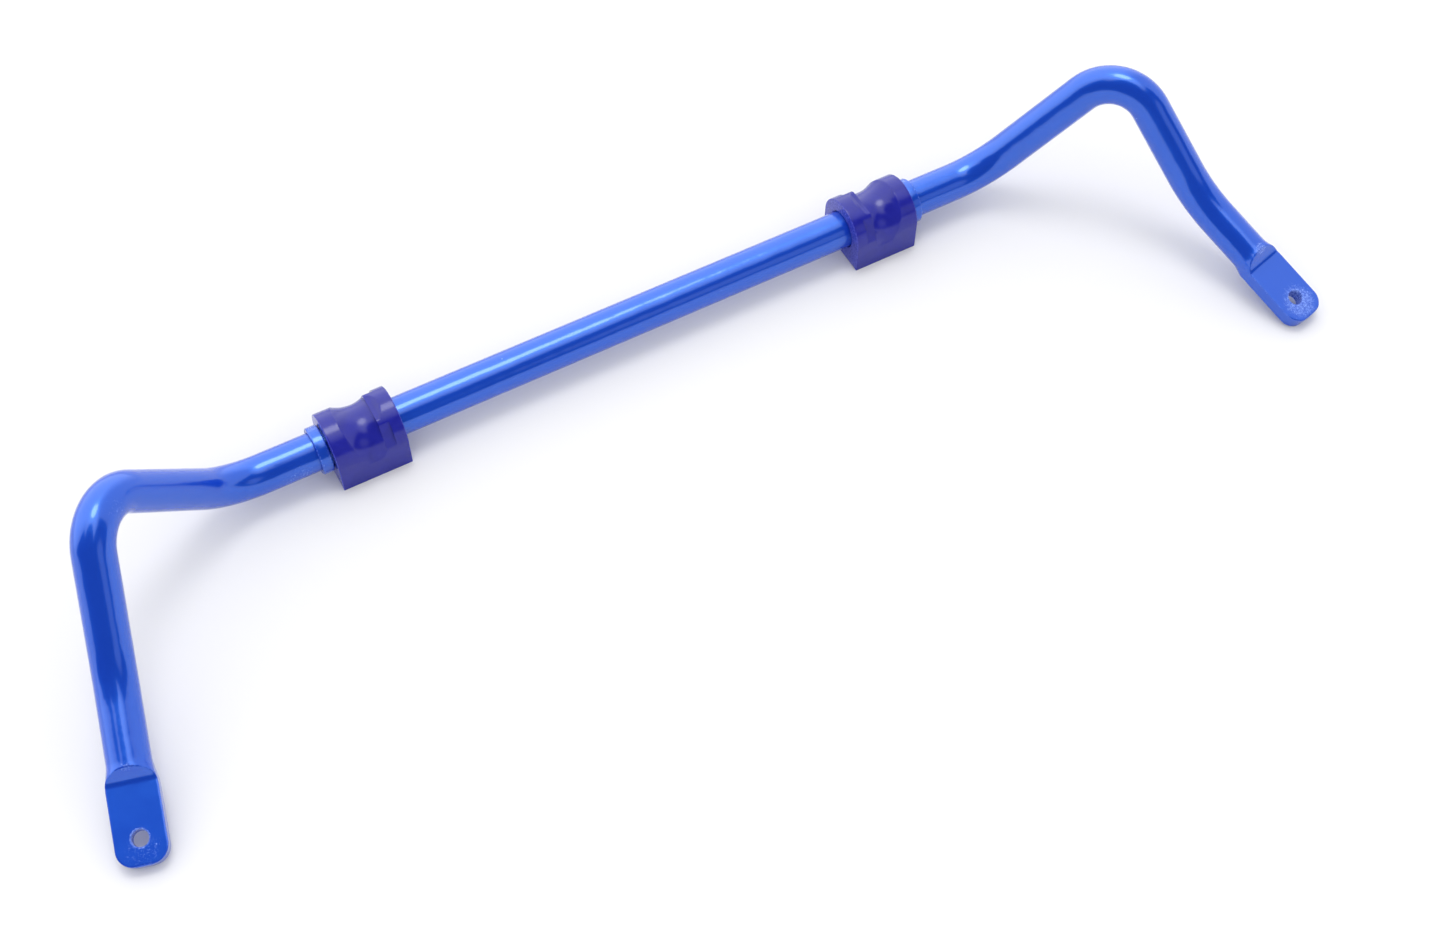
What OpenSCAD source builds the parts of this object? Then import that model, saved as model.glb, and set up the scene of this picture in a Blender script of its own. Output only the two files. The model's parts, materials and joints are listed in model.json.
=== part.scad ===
// Automotive sway bar (anti-roll bar) with two stop collars and two D-bushes.
// Millimetres, +Z up. X runs along the straight of the bar. The origin lies on the surface
// that the bar stands on, under the middle of its outline; the arms reach towards -Y.

/* [Bar] */
// Diameter of the round steel bar
bar_d = 26; // [18:0.5:32]
// Middle of the bar to the corner of the first bend
kink_x = 282; // [250:1:340]
// Corner of the first bend to the corner of the crest, along the bar
crest_out = 80; // [60:1:110]
// Straight to the corner of the crest, forward
crest_fore = 28; // [0:1:60]
// Corner of the crest above the plane of the straight and the link holes
crest_up = 99; // [70:1:120]
// Corner of the crest to the corner of the last bend, along the bar
knee_out = 26; // [10:1:50]
// Corner of the crest to the corner of the last bend, forward
knee_fore = 77; // [60:1:110]
// Corner of the last bend above the plane of the straight and the link holes
knee_up = 27; // [10:1:40]
// Corner of the last bend to the link hole, along the bar
link_out = 23; // [0:1:50]
// Corner of the last bend to the link hole, forward
link_fore = 89; // [70:1:140]

/* [Bends] */
// Radius of the first bend, at the bar's centre line
kink_r = 50; // [40:1:70]
// Radius of the crest bend, at the bar's centre line
crest_r = 30; // [24:1:40]
// Radius of the last bend, at the bar's centre line
knee_r = 90; // [60:1:110]

/* [Link ends] */
// Width of the flattened end
end_w = 30; // [26:0.5:40]
// Thickness of the flattened end
end_t = 10; // [6:0.5:14]
// Link hole centre to the tip of the flattened end
end_tip = 16; // [12:0.5:24]
// Link hole centre to the foot of the forged shoulder
end_flat = 31; // [22:0.5:40]
// Length of the forged shoulder between the round bar and the flat
shoulder_l = 9; // [5:0.5:16]
// Radius of the two corners at the tip
tip_r = 11; // [4:0.5:12]
// Diameter of the link hole
link_hole_d = 10; // [8:0.5:13]

/* [Collars] */
// Middle of a stop collar to the corner of the first bend
collar_back = 62; // [45:1:120]
// Width of a stop collar along the bar
collar_w = 7.5; // [5:0.5:12]
// Wall of a stop collar outside the bar
collar_wall = 3; // [2:0.5:5]
// Edge break of a stop collar
collar_edge = 0.8; // [0.4:0.1:1.2]

/* [Bushes] */
// Length of a bush along the bar
bush_l = 48; // [40:1:60]
// Width of a bush across its flat base
bush_w = 44.4; // [42:0.2:56]
// Height of the bar's axis above the flat base of a bush
bush_axis_h = 21.3; // [20:0.1:28]
// Radial clearance of the bar in a bush
bush_fit = 0.05; // [0.01:0.01:0.1]
// Edge break at each mouth of the bush bore
bush_mouth = 0.75; // [0.3:0.05:1.2]
// Length of the groove round the arch, up to the block
groove_l = 23; // [18:0.5:28]
// Depth of the groove at the top of the arch
groove_deep = 5.3; // [3:0.1:6]
// Start of the groove to its deepest line
groove_low = 15; // [10:0.5:18]
// Length of the flat-sided block behind the groove
block_l = 7; // [4:0.5:12]
// Height of the flat top of the block above the bar's axis
block_top = 19.4; // [18:0.1:21]
// Distance of the sloping sides of the block from the bar's axis
block_side = 20.4; // [19.5:0.1:21.5]
// Length of the full arch behind the block
rear_l = 8; // [4:0.5:12]
// Width of the fitting slit through the base of a bush
slit_w = 0.4; // [0.2:0.1:1]
// Side float between a bush and its collar
bush_float = 0.75; // [0.3:0.05:2]

/* [Hidden] */

$fn = 64;
bar_r = bar_d / 2;
// Gap at mid-length between the halves that stand for the two ends of one twisting bar.
half_gap = 0.1;
// Gap under a collar, which is crimped on the real bar.
collar_gap = 0.01;
// How far a bend stands proud of the rods, and how far the rods run into it, so that they join
// at a clean edge.
bend_proud = 0.05;
rod_lap = 1;
// How far the round bar runs on inside the flat past the foot of the shoulder.
flat_lap = 2;
// Radius of the arc that gives the groove its lead-in and depth.
groove_ring_r = (groove_low * groove_low + groove_deep * groove_deep) / (2 * groove_deep);
// Depth of the groove where it runs out at the flanks, and how far its arc is lowered for that.
groove_side = 0.8;
groove_drop = groove_deep - groove_side;
// Slope of the sides of the block, from the level.
block_slope = 60;
// How much narrower than the round bar, on each side, the flat starts inside the shoulder.
flat_inset = 0.5;
// How far a cutting shape runs past the faces that it cuts.
over = 1;
// Rounds that are enough to settle the roll of the bar.
settle_rounds = 12;
// Plain land between the bush face next to the collar and the groove.
land_l = bush_l - groove_l - block_l - rear_l;
arch_r = bush_w / 2;
bore_r = bar_r + bush_fit;
collar_x = kink_x - collar_back;
bush_x = collar_x - collar_w / 2 - bush_float - bush_l / 2;

// Corners of the centre line of one half, in the bar's own frame, from mid-length to the hole.
corners = [
    [0, 0, 0],
    [kink_x, 0, 0],
    [kink_x + crest_out, -crest_fore, crest_up],
    [kink_x + crest_out + knee_out, -crest_fore - knee_fore, knee_up],
    [kink_x + crest_out + knee_out + link_out, -crest_fore - knee_fore - link_fore, 0]
];
bend_r = [0, kink_r, crest_r, knee_r];

function unit(v) = v / norm(v);
function heading(i) = unit(corners[i] - corners[i - 1]);
function bend_angle(i) = acos(heading(i) * heading(i + 1));
function tangent_l(i) = bend_r[i] * tan(bend_angle(i) / 2);
function bend_in(i) = corners[i] - tangent_l(i) * heading(i);
function bend_out(i) = corners[i] + tangent_l(i) * heading(i + 1);
function inward(i) = unit(heading(i + 1) - heading(i) * (heading(i) * heading(i + 1)));

// Directions of the flattened end: along the arm, across the flat and out of its upper face.
arm = heading(4);
flat_across = unit(cross([0, 0, 1], arm));
flat_up = cross(arm, flat_across);

// A matrix that carries the three axes to x, y and z and the origin to p.
function axes_at(x, y, z, p) = [
    [x[0], y[0], z[0], p[0]],
    [x[1], y[1], z[1], p[1]],
    [x[2], y[2], z[2], p[2]],
    [0, 0, 0, 1]
];

// The bar is rolled about its straight until its ends touch the surface the bushes stand on.
link = corners[4];
tip_c = link + (end_tip - tip_r) * arm;
tip_half = end_w / 2 - tip_r;
function rolled_y(v, a) = v[1] * cos(a) - v[2] * sin(a);
function rolled_z(v, a) = v[1] * sin(a) + v[2] * cos(a);
function spread(s, t) = tip_r * norm([s, t]);
function low_z(a) = rolled_z(tip_c, a) - tip_half * abs(rolled_z(flat_across, a))
    - spread(rolled_z(arm, a), rolled_z(flat_across, a)) - end_t / 2 * abs(rolled_z(flat_up, a));
function fore_y(a) = rolled_y(tip_c, a) - tip_half * abs(rolled_y(flat_across, a))
    - spread(rolled_y(arm, a), rolled_y(flat_across, a)) - end_t / 2 * abs(rolled_y(flat_up, a));
function settle(a, n) = n == 0 ? a
    : settle(a + (low_z(a) + bush_axis_h) / norm(tip_c) * 180 / PI, n - 1);
roll = settle(0, settle_rounds);

// Where the axis of the straight lies: the origin is under the middle of the outline.
axis_y = -(arch_r + fore_y(roll)) / 2;
axis_z = bush_axis_h;

// Draws its children in the bar's own frame at their place above the surface.
module in_place() {
    translate([0, axis_y, axis_z]) rotate([roll, 0, 0]) children();
}

// A round rod of the bar's diameter from p to q.
module rod(p, q) {
    along = unit(q - p);
    side = unit(cross(along, abs(along[2]) < 0.9 ? [0, 0, 1] : [0, 1, 0]));
    multmatrix(axes_at(side, cross(along, side), along, p))
        cylinder(h = norm(q - p), r = bar_r);
}

// The bend at corner i of the centre line.
module bend(i) {
    centre = bend_in(i) + bend_r[i] * inward(i);
    multmatrix(axes_at(-inward(i), heading(i), cross(-inward(i), heading(i)), centre))
        rotate_extrude(angle = bend_angle(i))
            translate([bend_r[i], 0]) circle(r = bar_r + bend_proud);
}

// Outline of the flattened end in plan, with X along the arm from the link hole.
module end_plan() {
    start = -end_flat - shoulder_l;
    difference() {
        union() {
            polygon([
                [start, -bar_r + flat_inset], [-end_flat, -end_w / 2], [end_tip - tip_r, -end_w / 2],
                [end_tip - tip_r, end_w / 2], [-end_flat, end_w / 2], [start, bar_r - flat_inset]
            ]);
            translate([end_tip - 2 * tip_r, -tip_half]) square([2 * tip_r, 2 * tip_half]);
            for (s = [-1, 1]) translate([end_tip - tip_r, s * tip_half]) circle(r = tip_r);
        }
        circle(d = link_hole_d);
    }
}

// Side view of what the forging takes off one side of the round bar, down to the flat.
module shoulder_cut() {
    start = -end_flat - shoulder_l;
    foot = end_t / 2;
    slope = (bar_r - foot) / shoulder_l;
    past = flat_lap + over;
    polygon([
        [start, bar_r], [-end_flat + past, foot - past * slope],
        [-end_flat + past, bar_r + over], [start - over / slope, bar_r + over]
    ]);
}

// The flattened and drilled end, in a frame with X along the arm and Z out of the flat.
module flat_end() {
    translate([0, 0, -end_t / 2]) linear_extrude(height = end_t) end_plan();
}

// The last straight of the arm, cut away above and below towards the flat, in the same frame.
module shoulder() {
    reach = norm(link - bend_out(3)) + rod_lap;
    difference() {
        translate([-reach, 0, 0]) rotate([0, 90, 0])
            cylinder(h = reach - end_flat + flat_lap, r = bar_r);
        for (side = [0, 1]) mirror([0, 0, side]) rotate([90, 0, 0])
            linear_extrude(height = bar_d + 2 * over, center = true) shoulder_cut();
    }
}

// One half of the bar, from mid-length to its drilled end, on the +X side.
module half_bar() {
    in_place() {
        rod([half_gap / 2, 0, 0], bend_in(1) + rod_lap * heading(1));
        for (i = [1:3]) bend(i);
        for (i = [1:2]) {
            lap = rod_lap * heading(i + 1);
            rod(bend_out(i) - lap, bend_in(i + 1) + lap);
        }
        multmatrix(axes_at(arm, flat_across, flat_up, link)) {
            shoulder();
            flat_end();
        }
    }
}

// A stop collar with broken edges, on the +X side.
module collar() {
    outer = bar_r + collar_wall;
    translate([collar_x, axis_y, axis_z]) rotate([0, 90, 0]) rotate_extrude()
        polygon([
            [bar_r + collar_gap, -collar_w / 2],
            [outer - collar_edge, -collar_w / 2],
            [outer, -collar_w / 2 + collar_edge],
            [outer, collar_w / 2 - collar_edge],
            [outer - collar_edge, collar_w / 2],
            [bar_r + collar_gap, collar_w / 2]
        ]);
}

// Face of a bush: a flat base under an arch. X is across, Y is up, the bar's axis at the origin.
module arch_face() {
    intersection() {
        circle(r = arch_r);
        translate([-arch_r, 0]) square([bush_w, arch_r]);
    }
    translate([-arch_r, -bush_axis_h]) square([bush_w, bush_axis_h]);
}

// Face of the block: a flat top and two sloping flats cut across the arch.
module block_face() {
    shoulder_x = (block_side - block_top * cos(block_slope)) / sin(block_slope);
    flank_y = (block_side - arch_r * sin(block_slope)) / cos(block_slope);
    polygon([
        [-arch_r, -bush_axis_h], [arch_r, -bush_axis_h], [arch_r, flank_y],
        [shoulder_x, block_top], [-shoulder_x, block_top], [-arch_r, flank_y]
    ]);
}

// A bush on the +X side, its plain land next to the collar.
module bush() {
    // Distances along the bush from the face next to the collar.
    block_at = land_l + groove_l;
    rear_at = block_at + block_l;
    translate([bush_x + bush_l / 2, axis_y, axis_z]) rotate([90, 0, -90])
        difference() {
            union() {
                linear_extrude(height = block_at) arch_face();
                translate([0, 0, block_at]) linear_extrude(height = block_l) block_face();
                translate([0, 0, rear_at]) linear_extrude(height = rear_l) arch_face();
            }
            translate([0, 0, -over]) cylinder(h = bush_l + 2 * over, r = bore_r);
            for (end = [0, 1]) translate([0, 0, end * bush_l]) mirror([0, 0, end])
                translate([0, 0, -over])
                    cylinder(h = bush_mouth + over, r1 = bore_r + bush_mouth + over, r2 = bore_r);
            // The groove is a ring about a lowered centre, so it runs out at the flanks.
            intersection() {
                translate([0, -groove_drop, land_l + groove_low]) rotate_extrude()
                    translate([arch_r - groove_side + groove_ring_r, 0])
                        circle(r = groove_ring_r);
                translate([-bush_w, -groove_drop, 0]) cube([2 * bush_w, 2 * bush_w, block_at]);
            }
            translate([-slit_w / 2, -bush_axis_h - over, -over])
                cube([slit_w, bush_axis_h + over, bush_l + 2 * over]);
        }
}

module bar_left_half() {
    color("royalblue") mirror([1, 0, 0]) half_bar();
}

module bar_right_half() {
    color("royalblue") half_bar();
}

module left_collar() {
    color("mediumblue") mirror([1, 0, 0]) collar();
}

module right_collar() {
    color("mediumblue") collar();
}

module left_bush() {
    color("darkblue") mirror([1, 0, 0]) bush();
}

module right_bush() {
    color("darkblue") bush();
}

bar_left_half();
bar_right_half();
left_collar();
right_collar();
left_bush();
right_bush();
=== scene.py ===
"""Looks of a vehicle sway bar: powder-coated bar, crimped stop collars and cast urethane bushes."""

import json
import logging
import math
from collections.abc import Callable, Sequence
from dataclasses import dataclass
from enum import Enum

import bpy
import numpy as np
from mathutils import Matrix, Quaternion, Vector


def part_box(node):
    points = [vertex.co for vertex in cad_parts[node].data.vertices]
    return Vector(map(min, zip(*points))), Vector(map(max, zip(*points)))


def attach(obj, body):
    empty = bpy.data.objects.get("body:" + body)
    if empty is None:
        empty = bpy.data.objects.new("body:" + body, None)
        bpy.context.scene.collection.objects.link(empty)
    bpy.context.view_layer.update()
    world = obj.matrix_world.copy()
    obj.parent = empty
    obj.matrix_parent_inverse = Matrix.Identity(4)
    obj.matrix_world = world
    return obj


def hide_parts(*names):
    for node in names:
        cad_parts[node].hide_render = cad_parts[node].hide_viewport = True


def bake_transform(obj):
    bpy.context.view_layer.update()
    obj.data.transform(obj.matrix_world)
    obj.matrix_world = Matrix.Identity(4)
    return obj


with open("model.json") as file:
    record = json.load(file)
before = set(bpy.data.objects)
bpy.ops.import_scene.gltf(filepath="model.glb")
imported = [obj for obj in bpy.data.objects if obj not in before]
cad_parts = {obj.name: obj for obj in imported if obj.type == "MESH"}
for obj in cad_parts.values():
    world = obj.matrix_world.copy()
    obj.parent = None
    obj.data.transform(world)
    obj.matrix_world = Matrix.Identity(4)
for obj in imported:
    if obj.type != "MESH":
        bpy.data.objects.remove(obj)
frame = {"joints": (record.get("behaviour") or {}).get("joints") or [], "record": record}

LOG = logging.getLogger("sway_bar")
MM = 0.001
# Name of the point value that says how worn the coat is, from 0 to 1.
WEAR = "wear"
# Angle above which an edge is drawn crisp.
CRISP_EDGE_DEG = 32.0


class Side(Enum):
    """The two ends of the bar, as a sign along X."""

    LEFT = -1
    RIGHT = 1

    @property
    def label(self) -> str:
        """Name of the side as it stands in the names of nodes and bodies."""
        return self.name.lower()


def linear(hex_colour: str) -> tuple[float, float, float, float]:
    """Turns an sRGB hex colour into linear RGBA.

    Args:
        hex_colour: colour such as "#1F4BC6".

    Returns:
        The linear red, green, blue and an alpha of 1.
    """
    parts = [int(hex_colour[i:i + 2], 16) / 255 for i in (1, 3, 5)]
    red, green, blue = (p / 12.92 if p <= 0.04045 else ((p + 0.055) / 1.055) ** 2.4 for p in parts)
    return red, green, blue, 1.0


def add_node(tree: bpy.types.NodeTree, kind: str, inputs: dict | None = None, **settings) -> bpy.types.Node:
    """Adds a node with its settings and links.

    Args:
        tree: node tree that takes the node.
        kind: Blender's name of the node type.
        inputs: value or output socket for each input, by name or number.
        **settings: properties of the node.

    Returns:
        The new node.
    """
    node = tree.nodes.new(kind)
    for name, value in settings.items():
        setattr(node, name, value)
    for key, value in (inputs or {}).items():
        if isinstance(value, bpy.types.NodeSocket):
            tree.links.new(value, node.inputs[key])
        else:
            node.inputs[key].default_value = value
    return node


def smooth(x: float, low: float, high: float) -> float:
    """Rises smoothly from 0 at low to 1 at high."""
    t = min(max((x - low) / (high - low), 0.0), 1.0)
    return t * t * (3 - 2 * t)


def mesh_object(name: str, points: np.ndarray, faces: Sequence[Sequence[int]]) -> bpy.types.Object:
    """Makes a smooth-shaded mesh object whose sharp edges stay crisp.

    Args:
        name: name of the object.
        points: corner points in metres, in the frame of the model.
        faces: corner numbers of each face.

    Returns:
        The object, linked into the scene.
    """
    mesh = bpy.data.meshes.new(name)
    mesh.from_pydata([tuple(p) for p in points], [], [tuple(f) for f in faces])
    mesh.validate()
    mesh.shade_smooth()
    mesh.set_sharp_from_angle(angle=math.radians(CRISP_EDGE_DEG))
    piece = bpy.data.objects.new(name, mesh)
    bpy.context.scene.collection.objects.link(piece)
    return piece


def ring_faces(rings: int, around: int, loop: bool = False) -> list[tuple[int, int, int, int]]:
    """Faces of a skin drawn over rings of points.

    Args:
        rings: number of rings.
        around: number of points in each ring.
        loop: whether the last ring joins the first.

    Returns:
        The corner numbers of each face.
    """
    return [
        (i * around + j, i * around + (j + 1) % around,
         (i + 1) % rings * around + (j + 1) % around, (i + 1) % rings * around + j)
        for i in range(rings if loop else rings - 1) for j in range(around)
    ]


@dataclass(frozen=True)
class WearSpot:
    """A worn patch of coat: where it is, how far it reaches and how bad it is."""

    centre_mm: Vector
    reach_mm: float
    strength: float

    def at(self, points_mm: np.ndarray) -> np.ndarray:
        """Wear that this patch gives each point."""
        away = np.linalg.norm(points_mm - np.array(self.centre_mm), axis=1)
        return self.strength * np.clip(1.8 * (1 - away / self.reach_mm), 0, 1)


def mark_wear(piece: bpy.types.Object, spots: Sequence[WearSpot], rim: np.ndarray | None = None) -> None:
    """Writes the wear of each point of a piece into its mesh.

    Args:
        piece: object to mark.
        spots: worn patches.
        rim: wear that the shape itself gives each point, such as along edges.
    """
    count = len(piece.data.vertices)
    flat = np.zeros(count * 3)
    piece.data.vertices.foreach_get("co", flat)
    points_mm = flat.reshape(-1, 3) / MM
    wear = np.zeros(count) if rim is None else rim.copy()
    for spot in spots:
        wear = np.maximum(wear, spot.at(points_mm))
    layer = piece.data.attributes.new(WEAR, "FLOAT", "POINT")
    layer.data.foreach_set("value", wear.astype(np.float32))


@dataclass(frozen=True)
class PowderCoat:
    """Translucent blue powder coat, sprayed dry over a bright primer and baked.

    It gives a deep blue with a lively blue sheen from the primer below, under a glossy skin in which
    the room is mirrored sharply. It rubs to a pale chalky blue and chips to the blasted steel.
    """

    name: str
    deep: str = "#0D33AC"
    light: str = "#133BB6"
    primer: str = "#4898FF"
    # Share of the light that comes back from the primer, through the pigment.
    primer_share: float = 0.24
    primer_roughness: float = 0.27
    rubbed: str = "#8CA8F0"
    bare: str = "#D5DCEE"
    ior: float = 1.5
    roughness: float = 0.35
    skin_roughness: float = 0.075
    rubbed_roughness: float = 0.5
    # Orange peel waves on powder coat are 2 to 4 mm long and a few micrometres high.
    peel_mm: float = 3.0
    peel_height_mm: float = 0.03
    # The bent and ground rod itself waves a few hundredths of a millimetre.
    wave_mm: float = 16.0
    wave_height_mm: float = 0.28
    # Film thickness drifts over a few centimetres.
    drift_mm: float = 45.0
    # Rubbing leaves fine pale mottling, drawn a little coarser than the real half millimetre.
    rub_mm: float = 1.3
    # Cells that chips are cut from: a chip fills the middle of its cell, more of it where wear is heavier.
    chip_mm: float = 1.6
    # Specks of dust lie a few centimetres apart.
    speck_gap_mm: float = 26.0
    speck_mm: float = 0.55

    def material(self) -> bpy.types.Material:
        """Builds the material.

        Returns:
            The material, made of procedural nodes.
        """
        material = bpy.data.materials.new(self.name)
        material.use_nodes = True
        tree = material.node_tree
        tree.nodes.clear()
        place = add_node(tree, "ShaderNodeTexCoord").outputs["Object"]
        worn = add_node(tree, "ShaderNodeAttribute", attribute_name=WEAR).outputs["Fac"]
        drift = add_node(tree, "ShaderNodeTexNoise", {
            "Vector": place, "Scale": 1 / (self.drift_mm * MM), "Detail": 3.0, "Roughness": 0.6})
        coat = add_node(tree, "ShaderNodeMix", {
            0: drift.outputs["Fac"], 6: linear(self.deep), 7: linear(self.light)}, data_type="RGBA")
        rub_noise = add_node(tree, "ShaderNodeTexNoise", {
            "Vector": place, "Scale": 1 / (self.rub_mm * MM), "Detail": 5.0, "Roughness": 0.72,
            "Distortion": 0.6})
        # The rubbed share grows with wear: the noise is lifted by it and cut at its middle.
        rub_sum = add_node(tree, "ShaderNodeMath", {0: rub_noise.outputs["Fac"], 1: worn}, operation="ADD")
        rubbed = add_node(tree, "ShaderNodeMapRange", {
            "Value": rub_sum.outputs[0], "From Min": 0.8, "From Max": 1.25},
            interpolation_type="SMOOTHSTEP")
        chips = add_node(tree, "ShaderNodeTexVoronoi", {
            "Vector": place, "Scale": 1 / (self.chip_mm * MM), "Randomness": 1.0})
        chip_edge = add_node(tree, "ShaderNodeMath", {
            0: worn, 1: chips.outputs["Distance"]}, operation="SUBTRACT")
        chipped = add_node(tree, "ShaderNodeMapRange", {
            "Value": chip_edge.outputs[0], "From Min": 0.62, "From Max": 0.7})
        specks = add_node(tree, "ShaderNodeTexVoronoi", {
            "Vector": place, "Scale": 1 / (self.speck_gap_mm * MM), "Randomness": 1.0})
        speck_reach = self.speck_mm / self.speck_gap_mm
        specked = add_node(tree, "ShaderNodeMapRange", {
            "Value": specks.outputs["Distance"], "From Min": speck_reach, "From Max": speck_reach * 0.4,
            "To Max": 0.8})
        colour = coat.outputs[2]
        for share, paint in (
            (rubbed.outputs[0], self.rubbed),
            (chipped.outputs[0], self.bare),
            (specked.outputs[0], self.rubbed),
        ):
            colour = add_node(tree, "ShaderNodeMix", {
                0: share, 6: colour, 7: linear(paint)}, data_type="RGBA").outputs[2]
        rough = add_node(tree, "ShaderNodeMapRange", {
            "Value": rubbed.outputs[0], "To Min": self.skin_roughness, "To Max": self.rubbed_roughness})
        wave = add_node(tree, "ShaderNodeTexNoise", {
            "Vector": place, "Scale": 1 / (self.wave_mm * MM), "Detail": 1.0, "Roughness": 0.4})
        wave_bump = add_node(tree, "ShaderNodeBump", {
            "Height": wave.outputs["Fac"], "Distance": self.wave_height_mm * MM, "Strength": 1.0})
        peel = add_node(tree, "ShaderNodeTexNoise", {
            "Vector": place, "Scale": 1 / (self.peel_mm * MM), "Detail": 1.0, "Roughness": 0.4})
        peel_bump = add_node(tree, "ShaderNodeBump", {
            "Height": peel.outputs["Fac"], "Distance": self.peel_height_mm * MM, "Strength": 1.0,
            "Normal": wave_bump.outputs[0]})
        rub_bump = add_node(tree, "ShaderNodeBump", {
            "Height": rubbed.outputs[0], "Distance": 0.05 * MM, "Strength": 0.5,
            "Normal": peel_bump.outputs[0]}, invert=True)
        skin = {
            "Coat Weight": 1.0, "Coat Roughness": rough.outputs[0], "Coat IOR": self.ior,
            "Normal": rub_bump.outputs[0], "Coat Normal": rub_bump.outputs[0]}
        pigment = add_node(tree, "ShaderNodeBsdfPrincipled", {
            "Base Color": colour, "Roughness": self.roughness, "Specular IOR Level": 0.0, "Metallic": 0.0,
            **skin})
        primer = add_node(tree, "ShaderNodeBsdfPrincipled", {
            "Base Color": linear(self.primer), "Roughness": self.primer_roughness, "Metallic": 1.0, **skin})
        worn_off = add_node(tree, "ShaderNodeMath", {
            0: 1.0, 1: rubbed.outputs[0]}, operation="SUBTRACT")
        share = add_node(tree, "ShaderNodeMath", {
            0: worn_off.outputs[0], 1: self.primer_share}, operation="MULTIPLY")
        layers = add_node(tree, "ShaderNodeMixShader", {
            0: share.outputs[0], 1: pigment.outputs[0], 2: primer.outputs[0]})
        add_node(tree, "ShaderNodeOutputMaterial", {"Surface": layers.outputs[0]})
        return material


@dataclass(frozen=True)
class CastUrethane:
    """Polyurethane, cast hot into an open mould and skinned on a lathe at its faces.

    It is a dense, waxy blue-violet with a wet-looking sheen, and the moulded skin shows faint swirls
    and flow marks.
    """

    name: str
    deep: str = "#12157A"
    light: str = "#1B2096"
    rubbed: str = "#5961D6"
    ior: float = 1.48
    roughness: float = 0.2
    sheen_spread: float = 0.06
    # Flow marks of the pour are a centimetre or two long.
    flow_mm: float = 14.0
    # The moulded skin is as fine as the mould's finish; drawn at 0.8 mm so that it shows.
    skin_mm: float = 0.8
    skin_height_mm: float = 0.012

    def material(self) -> bpy.types.Material:
        """Builds the material.

        Returns:
            The material, made of procedural nodes.
        """
        material = bpy.data.materials.new(self.name)
        material.use_nodes = True
        tree = material.node_tree
        tree.nodes.clear()
        place = add_node(tree, "ShaderNodeTexCoord").outputs["Object"]
        worn = add_node(tree, "ShaderNodeAttribute", attribute_name=WEAR).outputs["Fac"]
        flow = add_node(tree, "ShaderNodeTexNoise", {
            "Vector": place, "Scale": 1 / (self.flow_mm * MM), "Detail": 4.0, "Roughness": 0.55,
            "Distortion": 1.2})
        body = add_node(tree, "ShaderNodeMix", {
            0: flow.outputs["Fac"], 6: linear(self.deep), 7: linear(self.light)}, data_type="RGBA")
        skin = add_node(tree, "ShaderNodeTexNoise", {
            "Vector": place, "Scale": 1 / (self.skin_mm * MM), "Detail": 3.0})
        worn_sum = add_node(tree, "ShaderNodeMath", {0: skin.outputs["Fac"], 1: worn}, operation="ADD")
        rubbed = add_node(tree, "ShaderNodeMapRange", {
            "Value": worn_sum.outputs[0], "From Min": 0.8, "From Max": 1.5},
            interpolation_type="SMOOTHSTEP")
        colour = add_node(tree, "ShaderNodeMix", {
            0: rubbed.outputs[0], 6: body.outputs[2], 7: linear(self.rubbed)}, data_type="RGBA")
        rough = add_node(tree, "ShaderNodeMapRange", {
            "Value": flow.outputs["Fac"], "To Min": self.roughness - self.sheen_spread,
            "To Max": self.roughness + self.sheen_spread})
        bump = add_node(tree, "ShaderNodeBump", {
            "Height": skin.outputs["Fac"], "Distance": self.skin_height_mm * MM, "Strength": 0.5})
        shader = add_node(tree, "ShaderNodeBsdfPrincipled", {
            "Base Color": colour.outputs[2], "Roughness": rough.outputs[0], "IOR": self.ior,
            "Metallic": 0.0, "Normal": bump.outputs[0]})
        add_node(tree, "ShaderNodeOutputMaterial", {"Surface": shader.outputs[0]})
        return material


@dataclass(frozen=True)
class StudioPaper:
    """Matt backdrop paper, rolled out flat. It gives a plain pale ground that takes soft shadows."""

    name: str = "studio_paper"
    shade: str = "#E2E2E4"
    roughness: float = 0.9
    # Paper fibre clumps are about 2 mm wide.
    fibre_mm: float = 2.0

    def material(self) -> bpy.types.Material:
        """Builds the material.

        Returns:
            The material, made of procedural nodes.
        """
        material = bpy.data.materials.new(self.name)
        material.use_nodes = True
        tree = material.node_tree
        tree.nodes.clear()
        place = add_node(tree, "ShaderNodeTexCoord").outputs["Object"]
        fibre = add_node(tree, "ShaderNodeTexNoise", {
            "Vector": place, "Scale": 1 / (self.fibre_mm * MM), "Detail": 3.0})
        bump = add_node(tree, "ShaderNodeBump", {
            "Height": fibre.outputs["Fac"], "Distance": 0.01 * MM, "Strength": 0.3})
        shader = add_node(tree, "ShaderNodeBsdfPrincipled", {
            "Base Color": linear(self.shade), "Roughness": self.roughness, "Specular IOR Level": 0.1,
            "Normal": bump.outputs[0]})
        add_node(tree, "ShaderNodeOutputMaterial", {"Surface": shader.outputs[0]})
        return material


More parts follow.
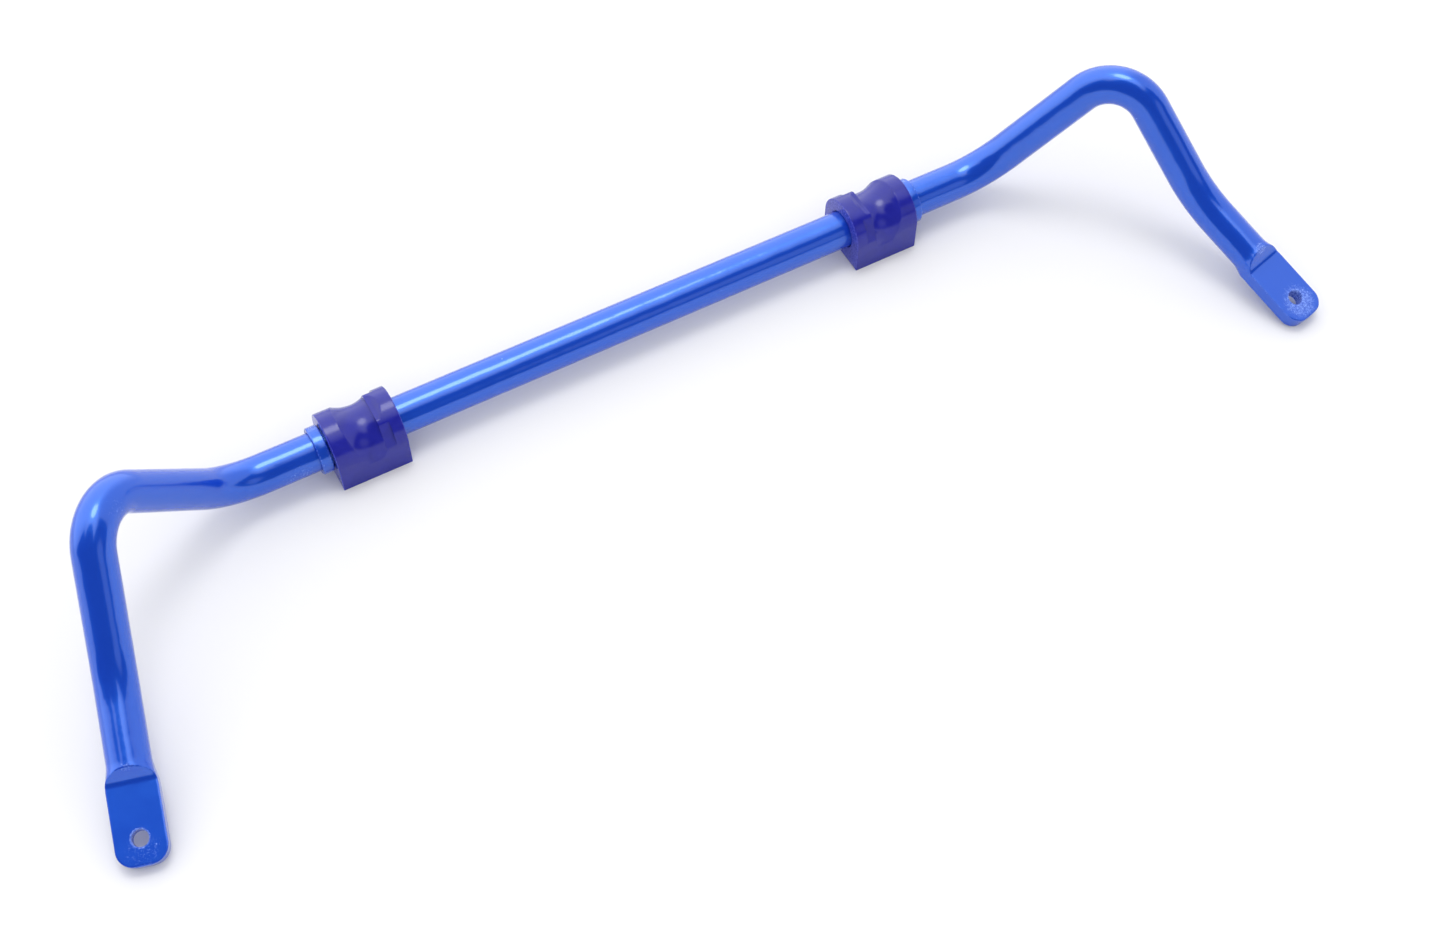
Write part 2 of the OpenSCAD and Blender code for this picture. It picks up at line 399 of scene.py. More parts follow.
@dataclass(frozen=True)
class BarPath:
    """Centre line of the right half of the bar, in millimetres, from mid-length to the link hole.

    The corners are in the bar's own frame: the straight on X, forward towards -Y, and the link holes
    level with the straight. The frame's mounts and joints say how the bar is rolled and where it is.
    """

    axis_at: Vector
    link_at: Vector
    flat_up: Vector
    kink_x: float = 282.0
    crest_out: float = 80.0
    crest_fore: float = 28.0
    crest_up: float = 99.0
    knee_out: float = 26.0
    knee_fore: float = 77.0
    knee_up: float = 27.0
    link_out: float = 23.0
    link_fore: float = 89.0
    kink_r: float = 50.0
    crest_r: float = 30.0
    knee_r: float = 90.0

    def corners(self) -> list[Vector]:
        """Corners of the centre line in the frame of the model.

        Returns:
            Five points, the first at mid-length and the last at the link hole.
        """
        crest_x = self.kink_x + self.crest_out
        knee_x = crest_x + self.knee_out
        knee_y = -self.crest_fore - self.knee_fore
        link = Vector((knee_x + self.link_out, knee_y - self.link_fore, 0))
        own = [
            Vector((0, 0, 0)),
            Vector((self.kink_x, 0, 0)),
            Vector((crest_x, -self.crest_fore, self.crest_up)),
            Vector((knee_x, knee_y, self.knee_up)),
            link,
        ]
        reach = self.link_at - self.axis_at
        roll = math.atan2(reach.z, reach.y) - math.atan2(link.z, link.y)
        turn = Matrix.Rotation(roll, 3, "X")
        return [self.axis_at + turn @ corner for corner in own]

    def points(
        self, past_mm: float, step_of: Callable[[float], float]
    ) -> list[tuple[float, Vector, Vector]]:
        """Walks along the centre line.

        Args:
            past_mm: how far to go on past the link hole.
            step_of: step to take at a distance from the link hole.

        Returns:
            Distance from the link hole (negative before it), place and heading of each station.
        """
        corners = self.corners()
        radii = (0.0, self.kink_r, self.crest_r, self.knee_r)
        pieces: list[tuple[float, Callable[[float], tuple[Vector, Vector]]]] = []
        start = corners[0]
        for i in (1, 2, 3):
            into = (corners[i] - corners[i - 1]).normalized()
            out = (corners[i + 1] - corners[i]).normalized()
            angle = into.angle(out)
            tangent = radii[i] * math.tan(angle / 2)
            bend_in = corners[i] - tangent * into
            pieces.append(((bend_in - start).length, self._straight(start, into)))
            inward = (out - into * into.dot(out)).normalized()
            pieces.append((angle * radii[i], self._bend(bend_in, into, inward, radii[i])))
            start = corners[i] + tangent * out
        last = (corners[4] - start).normalized()
        pieces.append(((corners[4] - start).length + past_mm, self._straight(start, last)))
        total = sum(length for length, _ in pieces)
        found = []
        s = 0.0
        while True:
            rest = s
            for length, place in pieces:
                if rest <= length or place is pieces[-1][1]:
                    where, heading = place(rest)
                    break
                rest -= length
            found.append((s - (total - past_mm), where, heading))
            if s >= total:
                return found
            s = min(s + step_of(s - (total - past_mm)), total)

    @staticmethod
    def _straight(start: Vector, heading: Vector) -> Callable[[float], tuple[Vector, Vector]]:
        """Place and heading at a distance along a straight."""
        return lambda d: (start + heading * d, heading)

    @staticmethod
    def _bend(
        start: Vector, into: Vector, inward: Vector, radius: float
    ) -> Callable[[float], tuple[Vector, Vector]]:
        """Place and heading at a distance along a bend."""
        def place(d: float) -> tuple[Vector, Vector]:
            turn = d / radius
            where = start + radius * (inward * (1 - math.cos(turn)) + into * math.sin(turn))
            return where, into * math.cos(turn) + inward * math.sin(turn)
        return place


@dataclass
class SwayBar:
    """The one continuous steel bar, with its two forged and drilled ends, in millimetres."""

    path: BarPath
    finish: PowderCoat
    twist_from_mm: float
    twist_to_mm: float
    bar_r: float = 13.0
    end_half_w: float = 15.0
    end_half_t: float = 5.0
    end_tip: float = 16.0
    tip_r: float = 11.0
    foot: float = 31.0
    shoulder_l: float = 9.0
    # Forging rounds the flank of the flat, its edges and the crease where it leaves the round.
    flank_r: float = 8.0
    edge_r: float = 1.3
    crease: float = 0.7
    fold_r: float = 5.0
    hole_r: float = 5.0
    hole_break: float = 0.7
    # The flank starts to widen before the shoulder and is full width just past the fold.
    flare_before: float = 5.0
    flare_after: float = 3.0
    # Spacing of the rings at the rounded tip, in the flat and on the rod.
    tip_step: float = 0.35
    end_step: float = 0.6
    rod_step: float = 2.5
    # Farther from the link hole than this the section is a plain circle.
    round_beyond: float = 60.0
    # The points of a ring move from even round the rod to even along the flat over this stretch.
    pace_from: float = 30.0
    pace_to: float = 8.0
    pace_samples: int = 1441
    around: int = 128

    def _step(self, to_hole: float) -> float:
        """Spacing of the rings at a distance from the link hole: fine where the shape changes."""
        if to_hole > self.end_tip - self.tip_r - 1:
            return self.tip_step
        if to_hole > -self.foot - self.shoulder_l - 6:
            return self.end_step
        return self.rod_step

    def _flare(self, s: float) -> float:
        """Share of the way from round rod to full width at a distance from the link hole."""
        start = -self.foot - self.shoulder_l - self.flare_before
        return smooth(s, start, -self.foot + self.flare_after)

    def _half_width(self, s: float) -> float:
        """Half the width of the section at a distance from the link hole."""
        flare = self._flare(s)
        width = self.bar_r + (self.end_half_w - self.bar_r) * flare
        into_tip = s - (self.end_tip - self.tip_r)
        if into_tip > 0:
            width -= self.tip_r - math.sqrt(max(self.tip_r ** 2 - into_tip ** 2, 0))
        return width

    def _half_thickness(self, s: float) -> float:
        """Height of the flat above the middle of the bar at a distance from the link hole."""
        before = -self.foot - s
        if before <= 0:
            return self.end_half_t
        rise = (self.bar_r - self.end_half_t) / (math.hypot(self.shoulder_l, self.fold_r) - self.fold_r)
        return self.end_half_t + rise * (math.hypot(before, self.fold_r) - self.fold_r)

    def _reach(self, turn: float, s: float) -> float:
        """Distance from the centre line to the surface.

        Args:
            turn: angle round the section from its side, in radians.
            s: distance from the link hole.

        Returns:
            The distance in millimetres.
        """
        c, z = abs(math.cos(turn)), abs(math.sin(turn))
        width = self._half_width(s)
        shaped = self._flare(s)
        corner = self.bar_r + (self.flank_r - self.bar_r) * shaped
        corner = min(corner, width)
        flat_w, flat_h = width - corner, self.bar_r - corner
        reach = width / c if c > 1e-6 and width / c * z <= flat_h else None
        if reach is None:
            along = c * flat_w + z * flat_h
            reach = along + math.sqrt(max(along ** 2 - flat_w ** 2 - flat_h ** 2 + corner ** 2, 0))
        thick = self._half_thickness(s)
        end = s - (self.end_tip - self.edge_r)
        if end > 0:
            inset = self.edge_r - math.sqrt(max(self.edge_r ** 2 - end ** 2, 0))
            thick -= inset
            reach -= inset
        if z < 1e-6:
            return reach
        top = thick / z
        round_by = self.crease + (self.edge_r - self.crease) * smooth(s, -self.foot - 4, -self.foot)
        near = max(round_by - abs(reach - top), 0) / round_by
        return min(reach, top) - near * near * round_by / 4

    def _turns(self) -> tuple[np.ndarray, np.ndarray]:
        """Angles of the ring's points, even round the bar and even along the outline of the flat."""
        even = np.linspace(0, 2 * math.pi, self.around, endpoint=False)
        fine = np.linspace(0, 2 * math.pi, self.pace_samples)
        out = np.array([self._reach(t, 0.0) for t in fine])
        line = np.stack([out * np.cos(fine), out * np.sin(fine)], 1)
        gone = np.r_[0, np.cumsum(np.linalg.norm(np.diff(line, axis=0), axis=1))]
        wanted = np.linspace(0, gone[-1], self.around, endpoint=False)
        return even, np.interp(wanted, gone, fine)

    def _rings(self) -> np.ndarray:
        """Rings of points of the right half, in millimetres, from mid-length to the tip."""
        stations = self.path.points(self.end_tip, self._step)
        headings = [heading for _, _, heading in stations]
        up = Vector((0, 0, 1))
        carried = up.copy()
        for before, after in zip(headings, headings[1:]):
            carried = before.rotation_difference(after) @ carried
        last = headings[-1]
        spin = math.atan2(last.dot(carried.cross(self.path.flat_up)), carried.dot(self.path.flat_up))
        up = Quaternion(headings[0], spin) @ up
        even, paced = self._turns()
        rings = []
        for i, (s, where, heading) in enumerate(stations):
            if i:
                up = headings[i - 1].rotation_difference(heading) @ up
            side = up.cross(heading)
            pace = smooth(s, -self.foot - self.pace_from, -self.foot - self.pace_to)
            turns = even + (paced - even) * pace
            is_round = s <= -self.round_beyond
            reach = [self.bar_r] * self.around if is_round else [self._reach(t, s) for t in turns]
            rings.append([
                where + r * (math.cos(t) * side + math.sin(t) * up) for t, r in zip(turns, reach)
            ])
        return np.array(rings)

    @staticmethod
    def _tip_cap(ring: np.ndarray) -> np.ndarray:
        """Rings that close the end face, shrinking towards its middle."""
        centre = ring.mean(axis=0)
        return np.array([centre + (ring - centre) * share for share in (0.75, 0.5, 0.25, 0.04)])

    def build(self) -> bpy.types.Object:
        """Builds the bar, drills it and dresses it.

        Returns:
            The bar, drilled and dressed.
        """
        rings = self._rings()
        right = np.concatenate([rings, self._tip_cap(rings[-1])])
        left = right[:0:-1] * np.array([-1, 1, 1])
        whole = np.concatenate([left, right])
        faces = ring_faces(len(whole), self.around)
        faces.append(tuple(range(self.around))[::-1])
        faces.append(tuple(range((len(whole) - 1) * self.around, len(whole) * self.around)))
        bar = mesh_object("bar", whole.reshape(-1, 3) * MM, faces)
        for side in Side:
            self._drill(bar, side)
        mark_wear(bar, self._spots(), self._rim(bar))
        bar.data.materials.append(self.finish.material())
        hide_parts("bar_left_half", "bar_right_half")
        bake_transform(bar)
        return bar

    def _drill(self, bar: bpy.types.Object, side: Side) -> None:
        """Drills a link hole and breaks both of its edges.

        Args:
            bar: the bar to drill.
            side: the end to drill.
        """
        flip = Vector((side.value, 1, 1))
        centre = self.path.link_at * flip
        axis = (self.path.flat_up * flip).normalized()
        across = axis.orthogonal().normalized()
        along = axis.cross(across)
        clear = 3.0
        inner, outer = self.end_half_t - self.hole_break, self.end_half_t + clear
        wide = self.hole_r + self.hole_break + clear
        profile = [(wide, -outer), (self.hole_r, -inner), (self.hole_r, inner), (wide, outer)]
        count = 72
        turns = np.linspace(0, 2 * math.pi, count, endpoint=False)
        points = [
            centre + axis * h + r * (math.cos(t) * across + math.sin(t) * along)
            for r, h in profile for t in turns
        ]
        faces = ring_faces(len(profile), count)
        faces.append(tuple(range(count))[::-1])
        faces.append(tuple(range(3 * count, 4 * count)))
        drill = mesh_object("drill", np.array(points) * MM, faces)
        cut = bar.modifiers.new("drill", "BOOLEAN")
        cut.operation = "DIFFERENCE"
        cut.solver = "EXACT"
        cut.object = drill
        done = bpy.data.meshes.new_from_object(bar.evaluated_get(bpy.context.evaluated_depsgraph_get()))
        bar.modifiers.clear()
        bar.data = done
        bar.data.set_sharp_from_angle(angle=math.radians(CRISP_EDGE_DEG))
        bpy.data.objects.remove(drill)

    def _rim(self, bar: bpy.types.Object) -> np.ndarray:
        """Wear along the edges of the flats and of the drilled holes.

        Args:
            bar: the drilled bar.

        Returns:
            The wear of each point of its mesh.
        """
        flat = np.zeros(len(bar.data.vertices) * 3)
        bar.data.vertices.foreach_get("co", flat)
        points = flat.reshape(-1, 3) / MM
        points[:, 0] = np.abs(points[:, 0])
        off = points - np.array(self.path.link_at)
        up = np.array(self.path.flat_up)
        height = np.abs(off @ up)
        corners = self.path.corners()
        along = off @ np.array((corners[4] - corners[3]).normalized())
        away = np.linalg.norm(off - np.outer(off @ up, up), axis=1)
        at_edge = (height > self.end_half_t - self.edge_r) & (height < self.end_half_t - 0.05)
        rim = np.where(at_edge & (along > -self.foot), 0.3, 0.0)
        in_hole = (away < self.hole_r + self.hole_break + 0.2) & (height > self.end_half_t - 2)
        return np.where(in_hole, 0.5, rim)

    def _spots(self) -> list[WearSpot]:
        """Where handling and fitting have rubbed the coat."""
        link = self.path.link_at
        mirror = Vector((-1, 1, 1))
        corners = self.path.corners()
        arm = (corners[4] - corners[3]).normalized()
        flat_top = self.path.flat_up * self.end_half_t
        low = Vector((0, -0.9, -0.45)) * self.bar_r
        axis = self.path.axis_at
        collar = Vector((self.twist_from_mm, axis.y, axis.z))
        shoulder = link - arm * (self.foot + self.shoulder_l) + self.path.flat_up * self.bar_r
        crook = (corners[2] + Vector((-7, -7, -16))) * mirror
        return [
            WearSpot(link + flat_top + arm * 4, 20, 0.46),
            WearSpot(link * mirror + flat_top * mirror + arm * mirror * 7, 19, 0.3),
            WearSpot(shoulder, 8, 0.46),
            WearSpot(shoulder * mirror, 6, 0.38),
            WearSpot(collar + low + Vector((-22, 0, 0)), 22, 0.33),
            WearSpot(collar + low + Vector((26, 0, 0)), 26, 0.32),
            WearSpot(axis + low + Vector((64, 0, 0)), 30, 0.25),
            WearSpot(axis + low + Vector((-36, 0, 0)), 18, 0.22),
            WearSpot(crook, 16, 0.43),
            WearSpot((corners[3] - arm * 20) * mirror + Vector((2, -2, 12)), 15, 0.4),
        ]


@dataclass
class StopCollar:
    """A steel ring crimped on the bar, which stops it from sliding through its bush."""

    side: Side
    middle: Vector
    finish: PowderCoat
    bore_r: float = 13.01
    outer_r: float = 16.0
    half_w: float = 3.75
    edge_r: float = 0.8
    # The bore is opened by a chamfer, with a raised lip and a shallow turned groove outside it.
    mouth: float = 0.75
    lip_w: float = 0.45
    groove_deep: float = 0.45
    around: int = 256

    def _half_profile(self) -> list[tuple[float, float]]:
        """Outline from the bore to the middle of the outside, as (radius, place along the bar)."""
        face = self.half_w
        lip_at = self.bore_r + self.mouth
        groove_at = lip_at + self.lip_w
        rim_at = self.outer_r - self.edge_r
        rounding = [
            (rim_at + self.edge_r * math.sin(a), face - self.edge_r * (1 - math.cos(a)))
            for a in np.linspace(0, math.pi / 2, 7)
        ]
        return [
            (self.bore_r, 0.0), (self.bore_r, face - self.mouth * 1.4), (lip_at - 0.08, face - 0.12),
            (lip_at + 0.06, face - 0.04), (groove_at - 0.1, face - 0.05), (groove_at, face - 0.15),
            (groove_at + 0.12, face - self.groove_deep), (rim_at - 0.45, face - self.groove_deep),
            (rim_at - 0.2, face - 0.12), *rounding, (self.outer_r, 0.0),
        ]

    def build(self) -> bpy.types.Object:
        """Turns the collar and dresses it.

        Returns:
            The collar, riding with its end of the bar.
        """
        half = self._half_profile()
        outline = half + [(r, -x) for r, x in half[-2:0:-1]]
        turns = np.linspace(0, 2 * math.pi, self.around, endpoint=False)
        points = np.array([
            [self.middle.x + x, self.middle.y + r * math.cos(t), self.middle.z + r * math.sin(t)]
            for r, x in outline for t in turns
        ])
        # These faces wind inwards.
        faces = ring_faces(len(outline), self.around, loop=True)
        collar = mesh_object(f"{self.side.label}_stop_collar", points * MM, faces)
        radius = np.hypot(points[:, 1] - self.middle.y, points[:, 2] - self.middle.z)
        rim = 0.34 * np.clip((radius - self.outer_r + 0.9) / 0.6, 0, 1) * (
            np.abs(points[:, 0] - self.middle.x) > self.half_w - 1)
        low = self.middle + Vector((0, -0.8, -0.6)) * self.outer_r
        high = self.middle + Vector((0, 0.5, 0.85)) * self.outer_r
        mark_wear(collar, [WearSpot(low, 9, 0.5), WearSpot(high, 6, 0.42)], rim)
        collar.data.materials.append(self.finish.material())
        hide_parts(f"{self.side.label}_collar")
        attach(collar, f"bar_{self.side.label}")
        return collar


@dataclass
class DBush:
    """A split D-shaped bush: flat base, arched top with a groove and a flat-sided block."""

    side: Side
    face_at: Vector
    finish: CastUrethane
    length: float = 48.0
    arch_r: float = 22.2
    bore_r: float = 13.05
    axis_h: float = 21.3
    land_l: float = 10.0
    groove_l: float = 23.0
    groove_low: float = 15.0
    groove_deep: float = 5.3
    groove_side: float = 0.8
    block_l: float = 7.0
    block_top: float = 19.4
    block_side: float = 20.4
    block_slope_deg: float = 60.0
    # The flat top of the block runs up into the arch behind it over this length.
    ramp_l: float = 5.0
    slit_w: float = 0.4
    edge_r: float = 0.55
    mouth: float = 0.75

    def _outline(self, turn: float, along: float) -> float:
        """Distance from the bar's axis to the outside.

        Args:
            turn: angle from the +Y side towards the top, in radians.
            along: distance from the face next to the collar.

        Returns:
            The distance in millimetres.
        """
        c, z = math.cos(turn), math.sin(turn)
        reach = self.arch_r if z >= 0 else min(
            self.arch_r / max(abs(c), 1e-6), self.axis_h / max(-z, 1e-6))
        block_at = self.land_l + self.groove_l
        rear_at = block_at + self.block_l
        if z > 0 and block_at <= along <= rear_at:
            slope = math.radians(self.block_slope_deg)
            side = self.block_side / max(math.cos(slope) * z + math.sin(slope) * abs(c), 1e-6)
            rise = smooth(along, rear_at - self.ramp_l, rear_at) * (self.arch_r - self.block_top)
            reach = min(reach, side, (self.block_top + rise) / max(z, 1e-6))
        if along < block_at:
            ring_r = (self.groove_low ** 2 + self.groove_deep ** 2) / (2 * self.groove_deep)
            off = along - self.land_l - self.groove_low
            drop = self.groove_deep - self.groove_side
            waist = self.arch_r - self.groove_side + ring_r - math.sqrt(max(ring_r ** 2 - off ** 2, 0))
            if abs(off) < ring_r:
                lowered = -drop * z + math.sqrt(max(waist ** 2 - (drop * c) ** 2, 0))
                if lowered * z > -drop:
                    reach = min(reach, max(lowered, self.bore_r + 2))
        return reach

    def _stations(self) -> list[float]:
        """Distances along the bush at which its outline is drawn, closest where it changes."""
        block_at = self.land_l + self.groove_l
        rear_at = block_at + self.block_l
        nudge = 1e-4
        ends = [self.edge_r * (1 - math.cos(a)) for a in np.linspace(0, math.pi / 2, 5)]
        places = ends + list(np.linspace(1.5, self.land_l - 0.3, 8))
        places += list(np.linspace(self.land_l, block_at - nudge, 44))
        places += [block_at] + list(np.linspace(block_at + 0.15, rear_at, 16))
        places += list(np.linspace(rear_at + nudge, self.length - 1.2, 8))
        return places + [self.length - e for e in ends[::-1]]

    def _turns(self) -> np.ndarray:
        """Angles round the bush from one side of the slit to the other, closest at its corners."""
        lip = math.asin(self.slit_w / 2 / self.axis_h)
        corner = math.atan2(self.axis_h, self.arch_r)
        stops = [-math.pi / 2 + lip, -corner - 0.012, -corner, -corner + 0.012, 0.0,
                 math.pi, math.pi + corner - 0.012, math.pi + corner, math.pi + corner + 0.012,
                 1.5 * math.pi - lip]
        counts = [18, 2, 2, 14, 150, 14, 2, 2, 18]
        parts = [np.linspace(a, b, n, endpoint=False) for a, b, n in zip(stops, stops[1:], counts)]
        return np.concatenate(parts + [np.array([stops[-1]])])

    def build(self) -> bpy.types.Object:
        """Moulds the bush and dresses it.

        Returns:
            The bush, riding on its own body so that the bar turns in it.
        """
        turns = self._turns()
        stations = self._stations()
        rows = []
        rim = []
        for along in stations:
            from_end = min(along, self.length - along)
            tuck = 0.0
            if from_end < self.edge_r:
                tuck = self.edge_r - math.sqrt(max(self.edge_r ** 2 - (self.edge_r - from_end) ** 2, 0))
            bore = self.bore_r + max(self.mouth - from_end, 0)
            outer = [self._outline(t, along) - tuck for t in turns]
            inner = [bore] * len(turns)
            ring = [(r * math.cos(t), r * math.sin(t)) for t, r in zip(turns, outer)]
            ring += [(r * math.cos(t), r * math.sin(t)) for t, r in zip(turns[::-1], inner)]
            x = self.face_at.x - self.side.value * along
            rows.append([(x, self.face_at.y + a, max(self.face_at.z + b, 0.0)) for a, b in ring])
            rim += [0.55 if from_end < self.edge_r * 0.7 else 0.0] * len(ring)
        per = len(rows[0])
        count = len(turns)
        faces = ring_faces(len(rows), per)
        for row, turned in ((0, False), (len(rows) - 1, True)):
            base = row * per
            for j in range(count - 1):
                quad = (base + j, base + per - 1 - j, base + per - 2 - j, base + j + 1)
                faces.append(quad[::-1] if turned else quad)
        # These faces wind inwards, on both sides.
        if self.side is Side.LEFT:
            faces = [face[::-1] for face in faces]
        bush = mesh_object(f"{self.side.label}_d_bush", np.array(rows).reshape(-1, 3) * MM, faces)
        mark_wear(bush, [], np.array(rim))
        bush.data.materials.append(self.finish.material())
        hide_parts(f"{self.side.label}_bush")
        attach(bush, f"{self.side.label}_bush")
        return bush


@dataclass
class Studio:
    """Plain pale floor, a soft white room with one dark side, and the camera."""

    paper: StudioPaper
    floor_half_m: float = 9.0
    # Camera: where it looks, how far off it is and how it is turned.
    aim_mm: tuple[float, float, float] = (-3.2, -44.2, 21.3)
    distance_mm: float = 1271.7
    azimuth_deg: float = -29.833
    elevation_deg: float = 55.901
    roll_deg: float = 1.023
    lens_mm: float = 50.0
    sensor_mm: float = 36.0
    # Dark side of the room, as (middle, half-width) of its azimuth and (low, high) elevation.
    dark_azimuth_deg: tuple[float, float] = (-162.0, 82.0)
    dark_elevation_deg: tuple[float, float] = (7.0, 58.0)
    # The dark side rises highest over the camera: a disc as (azimuth, elevation, half-width).
    dark_disc_deg: tuple[float, float, float] = (-145.0, 62.0, 20.0)
    # Round softbox nearly overhead, in the same terms.
    lamp_disc_deg: tuple[float, float, float] = (30.0, 77.0, 11.0)
    # A dim strip on the right of the dark side, in the same terms.
    dim_disc_deg: tuple[float, float, float] = (151.0, 26.0, 13.0)
    dark_level: float = 0.03
    dim_level: float = 0.6
    soft_level: float = 1.12
    room_level: float = 1.05
    back_level: float = 2.0
    lamp_level: float = 7.0

    def build(self) -> None:
        """Lays the floor, lights the room and places the camera."""
        self._floor()
        self._room()
        self._camera()
        bpy.context.scene.view_settings.view_transform = "Standard"

    def _floor(self) -> None:
        """Lays the paper floor."""
        edge = self.floor_half_m
        points = np.array([(-edge, -edge, 0), (edge, -edge, 0), (edge, edge, 0), (-edge, edge, 0)], float)
        floor = mesh_object("floor", points, [(0, 1, 2, 3)])
        floor.data.materials.append(self.paper.material())

    def _room(self) -> None:
        """Lights the scene with a soft room: bright top and back, and a dark side that only gloss sees."""
        world = bpy.data.worlds.new("room")
        bpy.context.scene.world = world
        world.use_nodes = True
        tree = world.node_tree
        tree.nodes.clear()
        toward = add_node(tree, "ShaderNodeTexCoord").outputs["Generated"]
        split = add_node(tree, "ShaderNodeSeparateXYZ", {0: toward})
        level = add_node(tree, "ShaderNodeVectorMath", {
            0: toward, 1: (1.0, 1.0, 0.0)}, operation="MULTIPLY")
        unit = add_node(tree, "ShaderNodeVectorMath", {0: level.outputs[0]}, operation="NORMALIZE")

        def faces(azimuth_deg: float, half_deg: float, soft: float) -> bpy.types.NodeSocket:
            """Share of a direction that lies within an angle of an azimuth."""
            azimuth = math.radians(azimuth_deg)
            dot = add_node(tree, "ShaderNodeVectorMath", {
                0: unit.outputs[0], 1: (math.sin(azimuth), math.cos(azimuth), 0.0)},
                operation="DOT_PRODUCT")
            edge = math.cos(math.radians(half_deg))
            return add_node(tree, "ShaderNodeMapRange", {
                "Value": dot.outputs["Value"], "From Min": edge - soft, "From Max": edge + soft},
                interpolation_type="SMOOTHSTEP").outputs[0]

        def above(elevation_deg: float, soft: float) -> bpy.types.NodeSocket:
            """Share of a direction that lies above an elevation."""
            edge = math.sin(math.radians(elevation_deg))
            return add_node(tree, "ShaderNodeMapRange", {
                "Value": split.outputs["Z"], "From Min": edge - soft, "From Max": edge + soft},
                interpolation_type="SMOOTHSTEP").outputs[0]

        def blend(share: bpy.types.NodeSocket, under: object, over: object) -> bpy.types.NodeSocket:
            """Goes from one level of light to another."""
            return add_node(tree, "ShaderNodeMix", {0: share, 2: under, 3: over}).outputs[0]

        def both(a: bpy.types.NodeSocket, b: bpy.types.NodeSocket) -> bpy.types.NodeSocket:
            """Share of a direction that lies within both."""
            return add_node(tree, "ShaderNodeMath", {0: a, 1: b}, operation="MULTIPLY").outputs[0]

        def disc(spot: tuple[float, float, float], soft: float) -> bpy.types.NodeSocket:
            """Share of a direction that lies within a disc, given by azimuth, elevation and half-width."""
            azimuth, elevation, half = (math.radians(angle) for angle in spot)
            middle = (
                math.sin(azimuth) * math.cos(elevation), math.cos(azimuth) * math.cos(elevation),
                math.sin(elevation))
            dot = add_node(tree, "ShaderNodeVectorMath", {0: toward, 1: middle}, operation="DOT_PRODUCT")
            return add_node(tree, "ShaderNodeMapRange", {
                "Value": dot.outputs["Value"], "From Min": math.cos(half * (1 + soft)),
                "From Max": math.cos(half * (1 - soft))}, interpolation_type="SMOOTHSTEP").outputs[0]

        light = blend(faces(-10.0, 62.0, 0.3), self.room_level, self.back_level)
        light = blend(above(66.0, 0.05), light, self.back_level)
        light = blend(disc(self.lamp_disc_deg, 0.25), light, self.lamp_level)
        low, high = self.dark_elevation_deg
        under = add_node(tree, "ShaderNodeMath", {
            0: 1.0, 1: above(high, 0.02)}, operation="SUBTRACT").outputs[0]
        dark = both(both(above(low, 0.012), under), faces(*self.dark_azimuth_deg, 0.03))
        light = blend(dark, light, self.dark_level)
        light = blend(disc(self.dark_disc_deg, 0.12), light, self.dark_level)
        light = blend(disc(self.dim_disc_deg, 0.3), light, self.dim_level)
        # The dark side is a screen for reflections only: matt surfaces get even light from all round.
        matt = add_node(tree, "ShaderNodeLightPath").outputs["Is Diffuse Ray"]
        even = blend(disc(self.lamp_disc_deg, 0.25), self.soft_level, self.lamp_level)
        light = blend(matt, light, even)
        # The room is only mirrored; seen directly the ground runs out into plain white.
        seen = add_node(tree, "ShaderNodeLightPath").outputs["Is Camera Ray"]
        light = blend(seen, light, 1.0)
        back = add_node(tree, "ShaderNodeBackground", {"Color": linear("#FFFFFF"), "Strength": light})
        add_node(tree, "ShaderNodeOutputWorld", {"Surface": back.outputs[0]})

    def _camera(self) -> None:
        """Places the camera by what it looks at."""
        azimuth, elevation = math.radians(self.azimuth_deg), math.radians(self.elevation_deg)
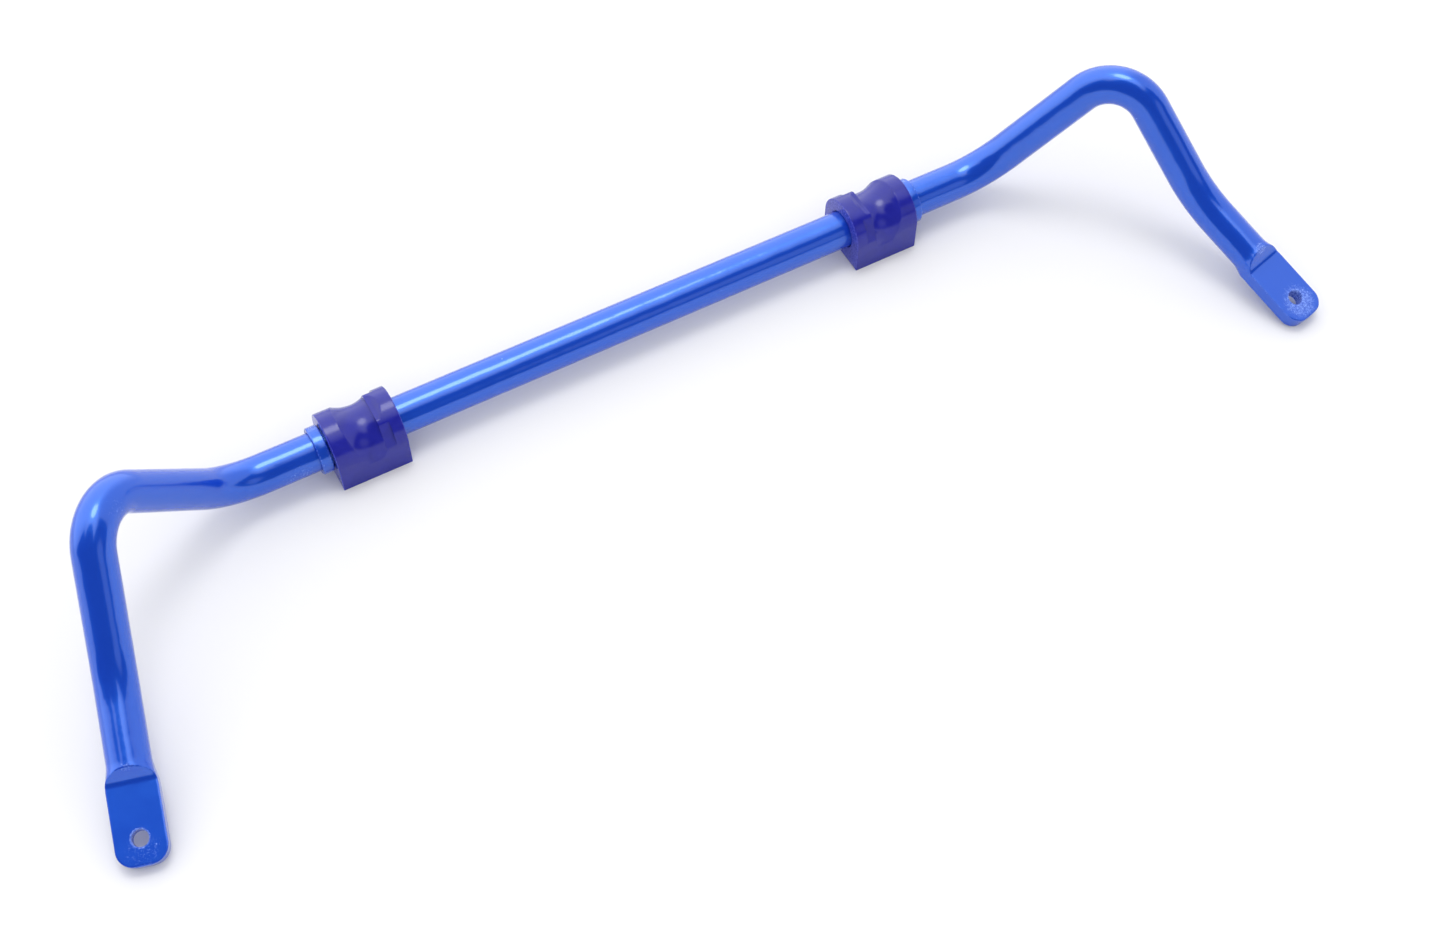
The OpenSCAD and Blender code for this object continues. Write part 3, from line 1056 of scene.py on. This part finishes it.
        # Azimuth 0 looks along +Y; the camera stands at the other end of this line.
        ahead = Vector((
            -math.sin(azimuth) * math.cos(elevation),
            math.cos(azimuth) * math.cos(elevation),
            -math.sin(elevation)))
        right = ahead.cross(Vector((0, 0, 1))).normalized()
        right = Quaternion(ahead, -math.radians(self.roll_deg)) @ right
        up = right.cross(ahead)
        place = Vector(self.aim_mm) * MM - ahead * self.distance_mm * MM
        data = bpy.data.cameras.new("camera")
        data.lens = self.lens_mm
        data.sensor_width = self.sensor_mm
        data.sensor_fit = "HORIZONTAL"
        camera = bpy.data.objects.new("camera", data)
        camera.matrix_world = Matrix((
            (right.x, up.x, -ahead.x, place.x), (right.y, up.y, -ahead.y, place.y),
            (right.z, up.z, -ahead.z, place.z), (0, 0, 0, 1)))
        bpy.context.scene.collection.objects.link(camera)
        bpy.context.scene.camera = camera


def mount(name: str) -> dict:
    """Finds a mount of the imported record.

    Args:
        name: name of the mount.

    Returns:
        The mount as the record states it.
    """
    return next(m for m in frame["record"]["mounts"] if m["name"] == name)


def main() -> None:
    """Builds the bar, its collars and bushes, and the studio round them."""
    logging.basicConfig(level=logging.INFO, format="%(message)s")
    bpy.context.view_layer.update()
    twist = next(j for j in frame["joints"] if j["name"] == "bar_twist")
    link = mount("right_link_hole")
    axis_at = Vector(twist["pos_m"]) / MM
    path = BarPath(axis_at, Vector(link["pos_m"]) / MM, Vector(link["axis"]).normalized())
    left_collar, right_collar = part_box("left_collar"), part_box("right_collar")
    twist_from, twist_to = left_collar[1].x / MM, right_collar[0].x / MM
    bar = SwayBar(path, PowderCoat("cobalt_powder_coat"), twist_from, twist_to).build()
    LOG.info("%s: %d points", bar.name, len(bar.data.vertices))
    urethane = CastUrethane("blue_violet_urethane")
    for side in Side:
        low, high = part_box(f"{side.label}_collar")
        middle = Vector(((low.x + high.x) / 2, axis_at.y * MM, axis_at.z * MM)) / MM
        collar = StopCollar(side, middle, PowderCoat(f"{side.label}_collar_powder_coat")).build()
        LOG.info("%s: %d points", collar.name, len(collar.data.vertices))
        low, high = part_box(f"{side.label}_bush")
        collar_side = max(low.x * side.value, high.x * side.value) * side.value / MM
        face = Vector((collar_side, axis_at.y, axis_at.z))
        bush = DBush(side, face, urethane).build()
        LOG.info("%s: %d points", bush.name, len(bush.data.vertices))
    Studio(StudioPaper()).build()


if __name__ == "__main__":
    main()
